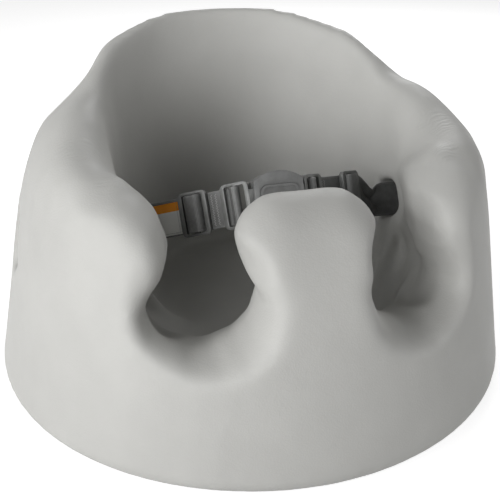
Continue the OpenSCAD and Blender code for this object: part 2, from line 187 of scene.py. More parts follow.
def wave_of(material, distance, pitch):
    """A rounded wave, nought to one, once every pitch."""
    angle = maths(material, "MULTIPLY", distance, 2 * math.pi / pitch)
    swing = maths(material, "MULTIPLY", maths(material, "SINE", angle), 0.5)
    return maths(material, "ADD", swing, 0.5)


def bump(material, shader, height, distance, strength=1.0, under=None):
    """Raises the surface by the height times the distance, in metres; more bumps can be stacked."""
    sockets = {"Height": height, "Distance": distance, "Strength": strength}
    if under:
        sockets["Normal"] = under
    made = add_node(material, "ShaderNodeBump", sockets).outputs["Normal"]
    drive(material, shader, "Normal", made)
    return made


# %% [markdown]
# ## The creases on the arms
# Where the foam is gripped and bent, on top of both arms, its skin lies in fine wavy creases a few
# millimetres apart. They could be cut into the mesh, but they are finer than its quads, so they are a bump:
# a wave that runs across the arm, pushed about by a noise, and faded out round the middle of each patch.
# The absolute value of x puts the same patches on both sides.

# %% Creases
# Middle and reach of each patch of creases, on the right side.
CREASED = [((118 * MM, -52 * MM, 180 * MM), 24 * MM), ((107 * MM, -86 * MM, 167 * MM), 15 * MM)]
CREASE_PITCH = 3.0 * MM
CREASE_DRIFT = 12 * MM
CREASE_SLANT = -0.6
CREASE_CORE = 0.3
WANDERING, BROKEN_UP = 70.0, 150.0


def creased_patch(material, place, centre, reach):
    """One in the middle of a patch of creases, nought from its reach on."""
    apart = add_node(material, "ShaderNodeVectorMath", {0: place, 1: centre}, operation="DISTANCE")
    fade = {
        "Value": apart.outputs["Value"], "From Min": CREASE_CORE * reach, "From Max": reach,
        "To Min": 1.0, "To Max": 0.0}
    return add_node(
        material, "ShaderNodeMapRange", fade, interpolation_type="SMOOTHSTEP").outputs["Result"]


def creases_of(material, place):
    """Fine wavy creases across the arm, in a few patches, the same on both sides."""
    split = add_node(material, "ShaderNodeSeparateXYZ", {"Vector": place}).outputs
    mirrored = {"X": maths(material, "ABSOLUTE", split["X"]), "Y": split["Y"], "Z": split["Z"]}
    right = add_node(material, "ShaderNodeCombineXYZ", mirrored).outputs["Vector"]
    drift = maths(material, "MULTIPLY", noise_of(material, place, WANDERING, 3.0), CREASE_DRIFT)
    slanted = maths(material, "ADD", split["Y"], maths(material, "MULTIPLY", split["Z"], CREASE_SLANT))
    ridges = wave_of(material, maths(material, "ADD", slanted, drift), CREASE_PITCH)
    ridges = maths(material, "MULTIPLY", ridges, noise_of(material, place, BROKEN_UP, 1.0))
    first, second = [creased_patch(material, right, *patch) for patch in CREASED]
    return maths(material, "MULTIPLY", ridges, maths(material, "MAXIMUM", first, second))


print("creases in", len(CREASED), "patches on each arm, every", round(CREASE_PITCH / MM, 1), "mm")

# %% [markdown]
# ## The foam skin
# The moulding has a closed skin, pale grey and satin, with a very fine grain from the mould and slight
# clouds of tone where the foam lies closer behind it. A flat colour would look like paint, so one noise
# makes the clouds and another makes some spots glossier. A cell pattern of about a millimetre and a fine
# noise make the grain, and the creases lie on top of them.

# %% Foam finish
FOAM_DARK = (0.475, 0.473, 0.455)
FOAM_LIGHT = (0.530, 0.528, 0.508)
FOAM_ROUGHNESS = 0.52
FOAM_ROUGHNESS_FROM, FOAM_ROUGHNESS_TO = 0.46, 0.60
FOAM_SPECULAR = 0.22
# Scales of the patterns, in lumps for each metre.
CLOUDS, GLOSSIER, GRAIN, UNEVEN = 14.0, 60.0, 900.0, 260.0
GRAIN_DEPTH = 0.12 * MM
UNEVEN_DEPTH = 0.25 * MM
CREASE_DEPTH = 0.7 * MM


def make_foam_finish():
    material, shader = new_finish("foam_skin", FOAM_ROUGHNESS, FOAM_SPECULAR)
    place = object_place(material)
    clouds = noise_of(material, place, CLOUDS, 4.0)
    drive(material, shader, "Base Color", shade_between(material, clouds, FOAM_DARK, FOAM_LIGHT))
    glossier = noise_of(material, place, GLOSSIER)
    drive(material, shader, "Roughness", spread(
        material, glossier, FOAM_ROUGHNESS_FROM, FOAM_ROUGHNESS_TO))
    cells = add_node(material, "ShaderNodeTexVoronoi", {"Vector": place, "Scale": GRAIN})
    grain = bump(material, shader, cells.outputs["Distance"], GRAIN_DEPTH, 0.5)
    uneven = bump(material, shader, noise_of(material, place, UNEVEN, 3.0), UNEVEN_DEPTH, 0.5, grain)
    bump(material, shader, creases_of(material, place), CREASE_DEPTH, 0.5, uneven)
    return material


foam_finish = make_foam_finish()
print("the foam's finish has", len(foam_finish.node_tree.nodes), "nodes")

# %% [markdown]
# ## The camera
# The camera stands 600 mm from the middle of the seat, 25.8 degrees above it and 15 degrees to its left,
# which is where the photograph was taken from. Its focal length is kept in pixels of the picture, as it was
# found from the seat's outline, and turned into Blender's millimetres for a 36 mm sensor.

# %% Camera
CAMERA_DISTANCE = 0.600
CAMERA_AZIMUTH = math.radians(-15)
CAMERA_HEIGHT_ANGLE = math.radians(25.83)
CAMERA_TARGET = Vector((0, 0, 0.0708))
FOCAL_PIXELS = 780.1
PICTURE_PIXELS = 500
SENSOR = 36.0


def towards(azimuth, elevation):
    """The direction from the seat to something at that azimuth and elevation, in radians."""
    return Vector((
        math.sin(azimuth) * math.cos(elevation),
        -math.cos(azimuth) * math.cos(elevation),
        math.sin(elevation),
    ))


def aim(thing, target, distance, azimuth, elevation):
    """Puts a camera or a lamp at a distance from its target, looking at it."""
    back = towards(azimuth, elevation)
    thing.location = target + distance * back
    thing.rotation_mode = "QUATERNION"
    thing.rotation_quaternion = (-back).to_track_quat("-Z", "Y")
    bpy.context.scene.collection.objects.link(thing)


def make_camera():
    data = bpy.data.cameras.new("camera")
    data.sensor_width = SENSOR
    data.lens = FOCAL_PIXELS / PICTURE_PIXELS * SENSOR
    camera = bpy.data.objects.new("camera", data)
    aim(camera, CAMERA_TARGET, CAMERA_DISTANCE, CAMERA_AZIMUTH, CAMERA_HEIGHT_ANGLE)
    bpy.context.scene.camera = camera
    print("camera at", [round(v, 3) for v in camera.location], "lens", round(data.lens, 1))


make_camera()

# %% [markdown]
# ## The lamps
# Soft foam looks soft only in soft light, so every lamp is a large square, far enough away for its light to
# be even. Three on the left outshine the one on the right, and one stands behind: together they give the
# seat its bright left side, its dark bucket and its pale rim. Small lamps or a sun would draw hard shadows
# into the bucket.

# %% Lamps
SEAT_MIDDLE = Vector((0, 0, 0.11))
LAMP_AWAY = 1.6
LAMP_WIDTH = 0.8
# Azimuth and elevation in degrees, and power in watts.
LAMPS = {
    "front_left_softbox": (-40, 15, 13.6),
    "left_softbox": (-70, 12, 9.3),
    "high_left_softbox": (-70, 35, 4.1),
    "right_fill": (60, 12, 6.4),
    "back_softbox": (150, 35, 11.3),
}


def make_lamp(name, azimuth, elevation, power):
    data = bpy.data.lights.new(name, "AREA")
    data.shape = "RECTANGLE"
    data.size = LAMP_WIDTH
    data.size_y = LAMP_WIDTH
    data.energy = power
    lamp = bpy.data.objects.new(name, data)
    aim(lamp, SEAT_MIDDLE, LAMP_AWAY, math.radians(azimuth), math.radians(elevation))


for name, settings in LAMPS.items():
    make_lamp(name, *settings)
print(len(LAMPS), "lamps of", round(sum(power for _, _, power in LAMPS.values()), 1), "watts together")

# %% [markdown]
# ## A white studio round the seat
# The camera sees white all round, but a white world would also light the seat from every side and wash out
# its bucket. So the world and the floor ask what kind of ray is looking: they are bright for the camera and
# for mirrored rays, and almost dark for the light that falls on the seat. The floor is a plain sheet of
# paper that keeps a soft shadow.

# %% World
WORLD_LIGHT = 0.005
BEFORE_ANY_BOUNCE = 0.5
world = bpy.data.worlds.new("studio")
world.use_nodes = True
bpy.context.scene.world = world
bpy.context.scene.view_settings.view_transform = "Standard"


def seen_directly(material):
    """One for the camera, and for its mirrored rays and rays through glass, else nought."""
    path = add_node(material, "ShaderNodeLightPath").outputs
    either = maths(material, "MAXIMUM", path["Is Glossy Ray"], path["Is Transmission Ray"])
    undiffused = maths(material, "LESS_THAN", path["Diffuse Depth"], BEFORE_ANY_BOUNCE)
    mirrored = maths(material, "MULTIPLY", either, undiffused)
    return maths(material, "MAXIMUM", path["Is Camera Ray"], mirrored)


def make_world():
    background = world.node_tree.nodes["Background"]
    background.inputs["Color"].default_value = (1, 1, 1, 1)
    drive(world, background, "Strength", spread(world, seen_directly(world), WORLD_LIGHT, 1.0))


make_world()
print("the world lights the seat with", WORLD_LIGHT, "and looks white")

# %% Floor
FLOOR_WIDTH = 12.0
FLOOR_BELOW = 0.2 * MM
FLOOR_GREY = (0.50, 0.50, 0.50, 1)
FLOOR_GLOW = 0.80


def make_floor():
    bm = bmesh.new()
    bmesh.ops.create_grid(bm, x_segments=8, y_segments=8, size=FLOOR_WIDTH / 2)
    floor = piece_from(bm, "floor")
    floor.location = (0, 0, -FLOOR_BELOW)
    material, shader = new_finish("floor_paper", 0.9, 0.1)
    shader.inputs["Base Color"].default_value = FLOOR_GREY
    shader.inputs["Emission Color"].default_value = (1, 1, 1, 1)
    glow = maths(material, "MULTIPLY", seen_directly(material), FLOOR_GLOW)
    drive(material, shader, "Emission Strength", glow)
    floor.data.materials.append(material)
    print("floor:", len(floor.data.polygons), "faces,", FLOOR_WIDTH, "m wide")


make_floor()

# %% [markdown]
# ## Soft pushes on the foam
# Real foam isn't as regular as a drawing. Beside the belt's slots the bucket's walls are hollowed, the
# post's neck is slimmer, the outer corners of the leg openings sag, and the arms have slight swellings.
# Sculpting would do this by hand; here each push is written down, so that it can be repeated: round a
# centre, the points move by most in the middle and not at all at the edge of an ellipsoid. The solids of
# the frame keep their plain shape, because the construction needs no dents, only the looks do.

# %% Pushes
# Centre, radii and push of each soft hollow or swelling, in millimetres.
PRESSED = [
    ((-82, -64, 122), (30, 34, 36), (-8, 0, 0)),
    ((82, -68, 122), (30, 36, 36), (10, 0, 0)),
    ((94, -44, 118), (24, 26, 26), (3.5, 0, 0)),
    ((92, -70, 90), (24, 34, 28), (8, 0, 0)),
    ((-90, -118, 128), (18, 28, 30), (0, -4, 0)),
    ((84, -104, 128), (28, 32, 28), (5, 0, 0)),
    ((-41, -144, 132), (22, 34, 18), (5.6, 0, 0)),
    ((42, -146, 133), (22, 36, 19), (-6.4, 0, 0)),
    ((-87, -102, 80), (18, 32, 19), (-1, 0, -9)),
    ((87, -102, 80), (18, 32, 19), (1, 0, -9)),
    ((103, -82, 166), (13, 18, 13), (-1, 0, 2.2)),
    ((-103, -82, 166), (13, 18, 13), (1, 0, 2.2)),
    ((118, -98, 165), (17, 20, 15), (0, 0.5, -2.4)),
    ((-118, -98, 165), (17, 20, 15), (0, 0.5, -2.4)),
]


def press_foam(bm):
    """Pushes the foam softly round each centre."""
    for centre, radii, push in PRESSED:
        middle, way = Vector(centre), Vector(push)
        for vert in bm.verts:
            offset = vert.co / MM - middle
            share = 1 - sum((offset[i] / radii[i]) ** 2 for i in range(3))
            if share > 0:
                vert.co += share * share * MM * way


print(len(PRESSED), "soft pushes, the longest", max(Vector(push).length for _, _, push in PRESSED), "mm")

# %% [markdown]
# ## The foam body
# The frame's body is a loft of flat triangles. The real one comes out of a mould with no edge anywhere, so
# a copy is merged, remeshed into even quads of 2.5 mm, and smoothed. A subdivision surface would round the
# facets too, but it would pull the edges of the slots about. Plain smoothing would shrink the body, so each
# smoothing step is followed by a slightly stronger step the other way, which keeps broad curves and takes
# only the facets away.

# %% Remesh and smooth the body
FOAM_VOXEL = 2.55 * MM
SMOOTH_PAIRS = 90
SMOOTH_IN = 0.60
SMOOTH_OUT = -0.625


def smooth_foam(bm):
    """Takes the facets away and keeps the size."""
    for _ in range(SMOOTH_PAIRS):
        for factor in (SMOOTH_IN, SMOOTH_OUT):
            bmesh.ops.smooth_vert(
                bm, verts=bm.verts, factor=factor, use_axis_x=True, use_axis_y=True, use_axis_z=True)


def make_foam_shell():
    foam = piece_from(merged_copy("seat_body"), "foam_body")
    remesh = foam.modifiers.new("even_quads", "REMESH")
    remesh.mode = "VOXEL"
    remesh.voxel_size = FOAM_VOXEL
    bake_modifiers(foam)
    bm = bmesh.new()
    bm.from_mesh(foam.data)
    smooth_foam(bm)
    press_foam(bm)
    bm.to_mesh(foam.data)
    bm.free()
    foam.data.shade_smooth()
    return foam


foam = make_foam_shell()
settle(foam, foam_finish, ["seat_body"], "seat")

# %% [markdown]
# ## The belt's own directions
# The belt lies in a plane that leans 25 degrees forward. It is easiest to draw there, with x across the
# seat, y into the buckle and z along the width of the webbing, and to turn the finished piece into place.
# Each half leaves its tongue at a hinge point, goes back at 38 degrees and bends once more in the wall.

# %% Belt directions
BELT_PLACE = Vector((0, -71 * MM, 140 * MM))
BELT_TILT = math.radians(-25)
HINGE_X = 18.2 * MM
STRAP_ANGLE = math.radians(38)
WALL_ANGLE = math.radians(5)
BEND_AT = 95 * MM
STRAP_WIDTH = 25 * MM
STRAP_THICK = 1.2 * MM
LAYER_GAP = 0.3 * MM
LOAD_LAYER = 2.0 * MM + STRAP_THICK / 2
RETURN_LAYER = LOAD_LAYER + STRAP_THICK + LAYER_GAP
SIDES = {"left": -1, "right": 1}
belt_to_seat = Matrix.Translation(BELT_PLACE) @ Matrix.Rotation(BELT_TILT, 4, "X")


def turned(angle, along, across):
    """A point that far along a direction and that far across it."""
    return Vector((
        along * math.cos(angle) - across * math.sin(angle),
        along * math.sin(angle) + across * math.cos(angle),
    ))


def on_strap(along, across):
    """A point of the belt's plane, along the strap from its hinge and across it."""
    return Vector((HINGE_X, 0)) + turned(STRAP_ANGLE, along, across)


def in_wall(along, across):
    """A point of the belt's plane, along the strap from its bend at the wall and across it."""
    return on_strap(BEND_AT, LOAD_LAYER) + turned(WALL_ANGLE, along, across)


print("the belt's plane stands at", [round(v, 3) for v in BELT_PLACE])

# %% [markdown]
# ## How the belt hangs
# The left half hangs down a little and the right half climbs, and both are level where they enter slots
# that lie 5 mm below the buckle's middle. The right half is also pushed together just before its slot: it
# lies in shallow pleats there and is a fifth narrower. The finished strips could be bent by hand to show
# this, but one formula that every point passes through keeps all the layers of webbing together.

# %% Lean, level and bunch the belt
LEAN = {"left": math.radians(3.5), "right": math.radians(-2)}
LEAN_ENDS = {"left": 77.5 * MM, "right": 70.5 * MM}
LEVEL_FROM = 93 * MM
SLOT_DROP = 5 * MM
BUNCHED = {"left": 0.0, "right": 1.0}
BUNCH_FROM = 74 * MM
BUNCH_TO = 90 * MM
BUNCH_RUN = 11 * MM
BUNCH_SHARE = 0.20
PLEATS = 1.5
PLEAT_HEIGHT = 2.1 * MM


def ease(share):
    """Nought to one, with a gentle start and end."""
    share = min(1.0, max(0.0, share))
    return share * share * (3 - 2 * share)


def bunched_at(side, along):
    """How much that side's webbing is pushed together there, from nought to one."""
    gathered = ease((along - BUNCH_FROM) / BUNCH_RUN)
    spread_out = ease((along - BUNCH_TO) / BUNCH_RUN)
    return BUNCHED[side] * gathered * (1 - spread_out)


def seat_point(side, flat, z=0.0):
    """A point of that side's belt, in the seat's own frame."""
    along, across = turned(-STRAP_ANGLE, *(flat - Vector((HINGE_X, 0))))
    cosine, sine = math.cos(LEAN[side]), math.sin(LEAN[side])
    leaning = Vector((along * cosine + z * sine, z * cosine - along * sine))
    bunched = bunched_at(side, along)
    across += bunched * PLEAT_HEIGHT * math.sin(2 * math.pi * PLEATS * z / STRAP_WIDTH)
    level = Vector((along, z - bunched * BUNCH_SHARE * (z + STRAP_WIDTH / 2) - SLOT_DROP))
    levelled = ease((along - LEAN_ENDS[side]) / (LEVEL_FROM - LEAN_ENDS[side]))
    along, z = leaning.lerp(level, levelled)
    flat = on_strap(along, across)
    return belt_to_seat @ Vector((SIDES[side] * flat.x, flat.y, z))


for side in SIDES:
    print(side, "half meets the wall's bend at", [round(v, 3) for v in seat_point(side, in_wall(0, 0))])

# %% [markdown]
# ## Webbing
# Webbing is a flat woven strip. A bevelled curve could stand for it, but its turns round the narrow bars
# would pinch. So it is drawn as a path with rounded corners, swept by extruding one row of points along it,
# and thickened afterwards. While it is swept, the distance along and across the strip goes into a UV map in
# metres, so the weave and the selvedges follow every bend at their real size.

# %% The path of a strip
ARC_STEP = math.radians(15)
RUN_STEP = 4 * MM


def rounded_corner(before, at, after, radius):
    """The points of an arc that takes the place of a corner."""
    first = (before - at).normalized()
    second = (after - at).normalized()
    half = first.angle(second) / 2
    centre = at + (first + second).normalized() * radius / math.sin(half)
    start = at + first * radius / math.tan(half) - centre
    end = at + second * radius / math.tan(half) - centre
    sweep = math.pi - 2 * half
    steps = max(3, math.ceil(sweep / ARC_STEP))
    turn = 1 if start.x * end.y - start.y * end.x > 0 else -1
    return [centre + turned(turn * sweep * i / steps, start.x, start.y) for i in range(steps + 1)]


def strip_path(corners):
    """Corners are (point, radius); returns close points with the corners rounded."""
    points = [corners[0][0]]
    for before, (at, radius), after in zip(corners, corners[1:], corners[2:]):
        points += rounded_corner(before[0], at, after[0], radius)
    points.append(corners[-1][0])
    close = [points[0]]
    for point in points[1:]:
        steps = max(1, round((point - close[-1]).length / RUN_STEP))
        start = close[-1]
        close += [start.lerp(point, (i + 1) / steps) for i in range(steps)]
    return close


# %% Sweep a strip along its path
ROW_STEPS = 20
WOVEN_EDGE = 0.35 * MM
WOVEN_CORNER = math.radians(60)


def draw_strip(side, path, across):
    """A row of points extruded along the path; returns the bmesh and the length of the path."""
    bm = bmesh.new()
    row = [bm.verts.new(seat_point(side, path[0], z)) for z in across]
    edges = [bm.edges.new(pair) for pair in zip(row, row[1:])]
    place = {vert: (z, 0.0) for vert, z in zip(row, across)}
    travelled = 0.0
    for here, there in zip(path, path[1:]):
        travelled += (there - here).length
        made = bmesh.ops.extrude_edge_only(bm, edges=edges)["geom"]
        row = [new for new in made if isinstance(new, bmesh.types.BMVert)]
        edges = [
            new for new in made
            if isinstance(new, bmesh.types.BMEdge) and all(vert not in place for vert in new.verts)]
        for vert in row:
            z = min(across, key=lambda spot: (seat_point(side, here, spot) - vert.co).length)
            place[vert] = (z, travelled)
            vert.co = seat_point(side, there, z)
    uv = bm.loops.layers.uv.new("strip")
    for face in bm.faces:
        for loop in face.loops:
            loop[uv].uv = place[loop.vert]
    bmesh.ops.recalc_face_normals(bm, faces=bm.faces)
    return bm, travelled


def thicken(strip, thick):
    """Gives a flat strip its thickness, to both sides, and its soft woven edges."""
    shell = strip.modifiers.new("thickness", "SOLIDIFY")
    shell.thickness = thick
    shell.offset = 0
    edge = strip.modifiers.new("woven_edge", "BEVEL")
    edge.width = WOVEN_EDGE
    edge.segments = 2
    edge.limit_method = "ANGLE"
    edge.angle_limit = WOVEN_CORNER
    return bake_modifiers(strip)


def sweep_strip(name, side, corners, width=STRAP_WIDTH, thick=STRAP_THICK, middle=0.0):
    """A strip in place, with thickness, and its length in metres."""
    across = [middle + width * (i / ROW_STEPS - 0.5) for i in range(ROW_STEPS + 1)]
    bm, travelled = draw_strip(side, strip_path(corners), across)
    return thicken(piece_from(bm, name), thick), travelled


# %% [markdown]
# ## The stitches
# Next to each tongue the end of the webbing is sewn down by rows of zigzag stitches in a paler thread. The
# threads are too fine to be worth modelling one by one, so the strip's UV map places them: a folded
# distance across the strip makes the zigzag, and a folded distance along it makes the rows.

# %% Stitches
STITCH_ROW = 3.2 * MM
STITCH_PITCH = 1.7 * MM
STITCH_SWING = 1.3
STITCH_THREAD = 0.30 * MM
STITCH_MARGIN = 2 * MM


def strip_place(material):
    """The distances across and along a strip, in metres, from its own UV map."""
    strip = add_node(material, "ShaderNodeUVMap", uv_map="strip").outputs["UV"]
    split = add_node(material, "ShaderNodeSeparateXYZ", {"Vector": strip}).outputs
    return split["X"], split["Y"]


def all_of(material, first, *others):
    """The product of several factors: one only where all of them are one."""
    for other in others:
        first = maths(material, "MULTIPLY", first, other)
    return first


def stitches_of(material, across, along, first, last):
    """One on the thread of rows of zigzag stitches that lie between two distances along the strip."""
    folded = maths(material, "PINGPONG", across, STITCH_PITCH / 2)
    zigzag = maths(material, "MULTIPLY", folded, STITCH_SWING)
    from_row = maths(material, "PINGPONG", maths(material, "ADD", along, zigzag), STITCH_ROW / 2)
    thread = maths(material, "LESS_THAN", from_row, STITCH_THREAD)
    from_middle = maths(material, "ABSOLUTE", across)
    inside = maths(material, "LESS_THAN", from_middle, STRAP_WIDTH / 2 - STITCH_MARGIN)
    after = maths(material, "GREATER_THAN", along, first)
    before = maths(material, "LESS_THAN", along, last)
    return all_of(material, thread, inside, after, before)


# %% [markdown]
# ## The webbing's finish
# Narrow polyester webbing shows fine ribs across it, which come from the thick weft, and close warp threads
# that run along it. A photograph of cloth could be wrapped round it, but two waves on the strip's own UV
# map make the same ribs at any size, with a lighter line along each selvedge. A noise wears the tone a
# little.

# %% Webbing finish
WEFT_PITCH = 0.9 * MM
WARP_PITCH = 0.8 * MM
WARP_SHARE = 0.6
WEAVE_SHARE, WORN_SHARE = 0.45, 0.5
WORN_SCALE = 240.0
WEAVE_DEPTH = 0.16 * MM
SELVEDGE = 1.4 * MM
SELVEDGE_SHARE = 0.45
WEBBING_DARK = (0.085, 0.086, 0.084)
WEBBING_LIGHT = (0.190, 0.192, 0.188)
THREAD_COLOUR = (0.36, 0.36, 0.35)
THREAD_RISE = 1.6


def make_webbing_finish(stitched):
    material, shader = new_finish("woven_webbing", 0.42, 0.6)
    shader.inputs["Sheen Weight"].default_value = 0.15
    shader.inputs["Sheen Roughness"].default_value = 0.4
    across, along = strip_place(material)
    weft = wave_of(material, along, WEFT_PITCH)
    warp = maths(material, "MULTIPLY", wave_of(material, across, WARP_PITCH), WARP_SHARE)
    height = maths(material, "MULTIPLY", weft, maths(material, "ADD", warp, 1 - WARP_SHARE))
    worn = noise_of(material, object_place(material), WORN_SCALE, 3.0)
    worn = maths(material, "MULTIPLY", worn, WORN_SHARE)
    tone = maths(material, "ADD", maths(material, "MULTIPLY", height, WEAVE_SHARE), worn)
    threads = shade_between(material, tone, WEBBING_DARK, WEBBING_LIGHT)
    from_middle = maths(material, "ABSOLUTE", across)
    edge = maths(material, "GREATER_THAN", from_middle, STRAP_WIDTH / 2 - SELVEDGE)
    edge = maths(material, "MULTIPLY", edge, SELVEDGE_SHARE)
    colour = mix_colours(material, edge, threads, (*WEBBING_LIGHT, 1))
    sewn = stitches_of(material, across, along, *stitched)
    drive(material, shader, "Base Color", mix_colours(material, sewn, colour, (*THREAD_COLOUR, 1)))
    raised = maths(material, "ADD", height, maths(material, "MULTIPLY", sewn, THREAD_RISE))
    bump(material, shader, raised, WEAVE_DEPTH, 0.6)
    return material


# %% [markdown]
# ## Three strips for each half of the belt
# The webbing of one half comes out of the wall, passes over the slider's middle bar, goes round the
# tongue's bar and comes back to the slider, where it is sewn. When a tongue is pulled out or a slider is
# pushed along, these stretches move apart from each other, so each is its own strip: the load strip runs
# from the seat to the tongue, the return strip from the tongue to the slider, and the hump over the
# slider's bar rides on the slider. Each route below is a list of corners with the radius of each bend.

# %% Measures of the webbing's route
SLIDER_AT = {"left": 42 * MM, "right": 59 * MM}
SLIDER_HALF = 10.7 * MM
SNUG = 0.1 * MM
BAR_AT = 10 * MM
BAR_RADIUS = 1.7 * MM
BAR_WRAP = BAR_RADIUS + SNUG + STRAP_THICK / 2
BAR_TURN = BAR_WRAP - SNUG
LOOP_HALF = 2.9 * MM
HUMP_IN = 1.2 * MM + LAYER_GAP + STRAP_THICK / 2
HUMP_OUT = HUMP_IN + STRAP_THICK + 0.7 * MM
HUMP_HALF = 4.6 * MM
HUMP_FOOT = 6.9 * MM
HUMP_END = 10.4 * MM
HUMP_LOW = LOAD_LAYER - LAYER_GAP
KNOT_AT = 63 * MM
KNOT_IN = KNOT_AT + 0.4 * MM + STRAP_THICK / 2
KNOT_OUT = KNOT_AT + 7 * MM
FOLD = STRAP_THICK + 0.4 * MM
FOLD_TURN = FOLD / 2 - SNUG
# Radii of the bends where the webbing comes out of the wall, leaves its bars and climbs over the slider.
WALL_BEND, BAR_BEND, BACK_BEND, LOOP_BEND, HUMP_BEND = 12 * MM, 1.2 * MM, 1 * MM, 1.4 * MM, 3.6 * MM


# %% The three routes
def load_corners():
    """From the folded end outside the wall to the tongue's bar and round it."""
    return [
        (in_wall(KNOT_OUT, 2 * FOLD), 0),
        (in_wall(KNOT_IN, 2 * FOLD), FOLD_TURN),
        (in_wall(KNOT_IN, FOLD), FOLD_TURN),
        (in_wall(KNOT_OUT, FOLD), FOLD_TURN),
        (in_wall(KNOT_OUT, 0), FOLD_TURN),
        (in_wall(0, 0), WALL_BEND),
        (on_strap(BAR_AT + 4.8 * MM, LOAD_LAYER), BAR_BEND),
        (on_strap(BAR_AT + BAR_RADIUS, -BAR_WRAP), BAR_BEND),
        (on_strap(BAR_AT - BAR_WRAP, -BAR_WRAP), BAR_TURN),
        (on_strap(BAR_AT - BAR_WRAP, BAR_WRAP), BAR_TURN),
        (on_strap(BAR_AT + 2 * MM, BAR_WRAP), BACK_BEND),
        (on_strap(BAR_AT + 3.8 * MM, RETURN_LAYER), BACK_BEND),
        (on_strap(BAR_AT + 6 * MM, RETURN_LAYER), 0),
    ]


def return_corners(slider_at):
    """From behind the tongue's bar to the slider and round its middle bar."""
    return [
        (on_strap(BAR_AT + 5 * MM, RETURN_LAYER), 0),
        (on_strap(slider_at - 6 * MM, RETURN_LAYER), BAR_BEND),
        (on_strap(slider_at - LOOP_HALF, 1 * MM), BAR_BEND),
        (on_strap(slider_at - LOOP_HALF, -HUMP_IN), LOOP_BEND),
        (on_strap(slider_at + LOOP_HALF, -HUMP_IN), LOOP_BEND),
        (on_strap(slider_at + LOOP_HALF, HUMP_IN), LOOP_BEND),
        (on_strap(slider_at - 1.5 * MM, HUMP_IN), 0),
    ]


def hump_corners(slider_at):
    """Up from the load strip, over the slider's middle bar, and down again."""
    return [
        (on_strap(slider_at + HUMP_END, HUMP_LOW), 0),
        (on_strap(slider_at + HUMP_FOOT, HUMP_LOW), LOOP_BEND),
        (on_strap(slider_at + HUMP_HALF, -HUMP_OUT), HUMP_BEND),
        (on_strap(slider_at - HUMP_HALF, -HUMP_OUT), HUMP_BEND),
        (on_strap(slider_at - HUMP_FOOT, HUMP_LOW), LOOP_BEND),
        (on_strap(slider_at - HUMP_END, HUMP_LOW), 0),
    ]


# %% [markdown]
# ## Both halves
# The stitches lie at distances from the hinge, but the UV map counts from the folded end, so one helper
# turns the first into the second. Then each half gets its three strips.


# %% Where the stitches lie
def distance_to(along):
    """How far along the load strip's path it passes that distance from the hinge."""
    path = strip_path(load_corners())
    travelled = 0.0
    for here, there in zip(path, path[1:]):
        if turned(-STRAP_ANGLE, *(there - Vector((HINGE_X, 0)))).x < along:
            break
        travelled += (there - here).length
    return travelled


STITCHES_FROM, STITCHES_TO = distance_to(30.5 * MM), distance_to(21.5 * MM)
webbing_finish = make_webbing_finish((STITCHES_FROM, STITCHES_TO))
print("stitches from", round(STITCHES_FROM / MM, 1), "to", round(STITCHES_TO / MM, 1), "mm of the path")

# %% Make both halves
HELD_IN_WALL = 8 * MM
PAST_SLIDER = 14 * MM


def bend_between(side):
    """Two points of the load strip, one held in the wall and one past the slider."""
    wall_end = seat_point(side, in_wall(-HELD_IN_WALL, 0))
    slider_end = seat_point(side, on_strap(SLIDER_AT[side] + PAST_SLIDER, LOAD_LAYER))
    return wall_end, slider_end


def make_webbing(side):
    slider_at = SLIDER_AT[side]
    load, load_length = sweep_strip(f"{side}_load_webbing", side, load_corners())
    settle(load, webbing_finish, [f"{side}_webbing"])
    wall_end, slider_end = bend_between(side)
    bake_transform(load)

    back, back_length = sweep_strip(f"{side}_return_webbing", side, return_corners(slider_at))
    settle(back, webbing_finish, [f"{side}_webbing"])
    tongue_end = seat_point(side, on_strap(BAR_AT + 6 * MM, RETURN_LAYER))
    sewn_end = seat_point(side, on_strap(slider_at - 8 * MM, RETURN_LAYER))
    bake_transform(back)

    hump, hump_length = sweep_strip(f"{side}_slider_webbing", side, hump_corners(slider_at))
    settle(hump, webbing_finish, [f"{side}_webbing"], f"{side}_adjuster")
    total = round((load_length + back_length) / MM)
    print(side, "half:", total, "mm of webbing, hump", round(hump_length / MM), "mm")


for side in SIDES:
    make_webbing(side)

# %% [markdown]
# ## Moulded plastic and steel
# The sliders, tongues, buckle covers and button are injection moulded in a mid grey plastic with a fine
# spark-eroded texture. A noise far below a millimetre makes that texture, and a broader one rubs it glossy
# in places, as hands do. The latch and the screws are drawn steel, whose marks run one way, so their noise
# is stretched along x.

# %% Finishes for the hard parts
BELT_GREY = (0.165, 0.168, 0.163)
BUCKLE_GREY = (0.145, 0.147, 0.145)
PLATE_BLACK = (0.060, 0.060, 0.060)
DARKER, LIGHTER = 0.86, 1.14
RUBBED, DULLED = 0.07, 0.09
TONE_SCALE, RUB_SCALE, SPARK_SCALE = 180.0, 320.0, 5200.0
SPARK_DEPTH = 0.03 * MM
STEEL_DARK = (0.42, 0.43, 0.44)
STEEL_LIGHT = (0.62, 0.63, 0.64)
DRAWN_SCALE = (60.0, 900.0, 900.0)
STREAK_SCALE, SCRATCH_SCALE = 6.0, 8.0
DRAWN_DEPTH = 0.02 * MM


def make_plastic(name, colour, roughness):
    material, shader = new_finish(name, roughness, 0.5)
    place = object_place(material)
    dark = [c * DARKER for c in colour]
    light = [min(1.0, c * LIGHTER) for c in colour]
    tone = shade_between(material, noise_of(material, place, TONE_SCALE, 3.0), dark, light)
    drive(material, shader, "Base Color", tone)
    rubbed = noise_of(material, place, RUB_SCALE)
    rubbed = spread(material, rubbed, roughness - RUBBED, roughness + DULLED)
    drive(material, shader, "Roughness", rubbed)
    bump(material, shader, noise_of(material, place, SPARK_SCALE, 1.0), SPARK_DEPTH, 0.6)
    return material


